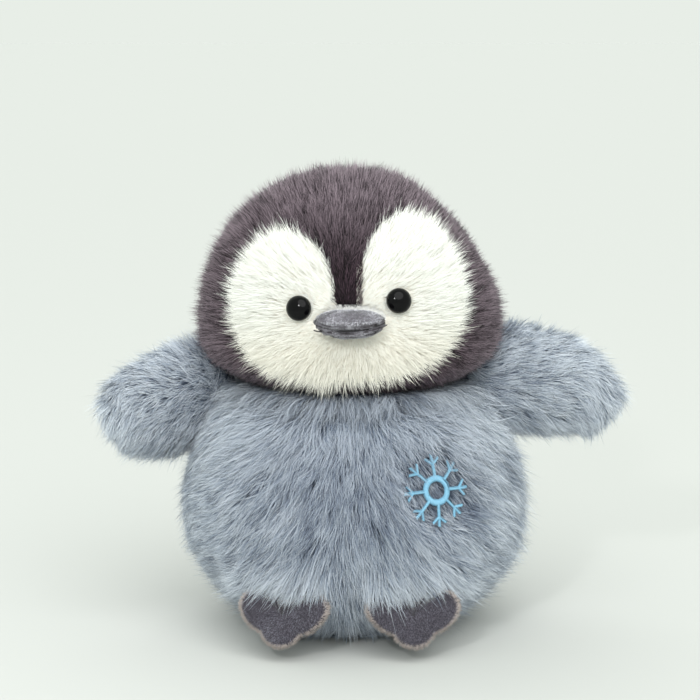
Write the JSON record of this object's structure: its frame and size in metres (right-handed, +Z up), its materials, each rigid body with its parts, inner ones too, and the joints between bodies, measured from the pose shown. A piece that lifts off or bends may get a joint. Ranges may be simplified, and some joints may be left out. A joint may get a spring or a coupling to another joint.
{
  "type": "plush penguin",
  "caption": "Sitting plush penguin chick: round furry torso, wide turning and nodding head, two flapping flippers, two flexing webbed feet, sewn beak and safety eyes.",
  "frame": {"origin": "centre of the flat base panel, on the surface that the toy sits on", "axes": "+Z up, -Y the way the face looks, +X the toy's own left, which is the right-hand side seen from in front"},
  "size_m": [0.2616, 0.1592, 0.225],
  "materials": {
    "fur_blue_grey": "long pile faux fur, matte",
    "fur_charcoal": "long pile faux fur, matte",
    "fur_white": "long pile faux fur, matte",
    "minky_grey": "short pile plush, matte",
    "minky_brown": "short pile plush, matte",
    "base_cloth": "short pile plush, matte",
    "polyester_stuffing": "loose fibre, matte",
    "pouch_cloth": "plain weave, matte",
    "thread_blue": "satin stitch, satin",
    "thread_grey": "spun thread, matte",
    "thread_dark": "spun thread, matte",
    "eye_plastic": "gloss",
    "washer_plastic": "satin",
    "pellet_plastic": "matte"
  },
  "bodies": {
    "torso": {"belly_panel": "fur_blue_grey", "back_panel_left": "fur_blue_grey", "back_panel_right": "fur_blue_grey", "base_panel": "base_cloth", "torso_stuffing": "polyester_stuffing", "pellet_pouch": "pouch_cloth", "pellets": "pellet_plastic", "snowflake_embroidery": "thread_blue", "closing_stitches": "thread_grey", "neck_seam_thread": "thread_grey"},
    "neck": {"neck_stuffing": "polyester_stuffing"},
    "head": {"face_panel_left": "fur_white", "face_panel_right": "fur_white", "crown_gusset": "fur_charcoal", "hood_left": "fur_charcoal", "hood_right": "fur_charcoal", "head_stuffing": "polyester_stuffing", "eye_left": "eye_plastic", "eye_right": "eye_plastic", "eye_washer_left": "washer_plastic", "eye_washer_right": "washer_plastic", "beak_upper": "minky_grey", "beak_lower": "minky_grey", "beak_filling": "polyester_stuffing", "mouth_thread": "thread_dark"},
    "wing_left": {"wing_left_front": "fur_blue_grey", "wing_left_back": "fur_blue_grey", "wing_left_stuffing": "polyester_stuffing"},
    "wing_right": {"wing_right_front": "fur_blue_grey", "wing_right_back": "fur_blue_grey", "wing_right_stuffing": "polyester_stuffing"},
    "foot_left": {"foot_left_upper": "minky_brown", "foot_left_sole": "minky_brown", "foot_left_stuffing": "polyester_stuffing"},
    "foot_right": {"foot_right_upper": "minky_brown", "foot_right_sole": "minky_brown", "foot_right_stuffing": "polyester_stuffing"}
  },
  "joints": [
    {"name": "head_turn", "type": "hinge", "parent": "torso", "child": "neck", "pos_m": [0, 0, 0.11725], "axis": [0, 0, 1], "range_deg": [-20, 20], "stiffness_Nm_per_rad": 0.15},
    {"name": "head_nod", "type": "hinge", "parent": "neck", "child": "head", "pos_m": [0, 0, 0.11725], "axis": [1, 0, 0], "range_deg": [-8, 8], "stiffness_Nm_per_rad": 0.8},
    {"name": "wing_left_flap", "type": "hinge", "parent": "torso", "child": "wing_left", "pos_m": [0.068, 0.004, 0.114], "axis": [0, -1, 0], "range_deg": [-16, 32], "stiffness_Nm_per_rad": 0.12},
    {"name": "wing_right_flap", "type": "hinge", "parent": "torso", "child": "wing_right", "pos_m": [-0.068, 0.004, 0.114], "axis": [-0.4695, 0.8829, 0], "range_deg": [-8, 35], "stiffness_Nm_per_rad": 0.12},
    {"name": "foot_left_flex", "type": "hinge", "parent": "torso", "child": "foot_left", "pos_m": [0.029, -0.0665, 0.031], "axis": [-0.9945, -0.1045, 0], "range_deg": [0, 30], "stiffness_Nm_per_rad": 0.05},
    {"name": "foot_right_flex", "type": "hinge", "parent": "torso", "child": "foot_right", "pos_m": [-0.029, -0.0665, 0.031], "axis": [-0.9397, 0.342, 0], "range_deg": [0, 30], "stiffness_Nm_per_rad": 0.05}
  ]
}
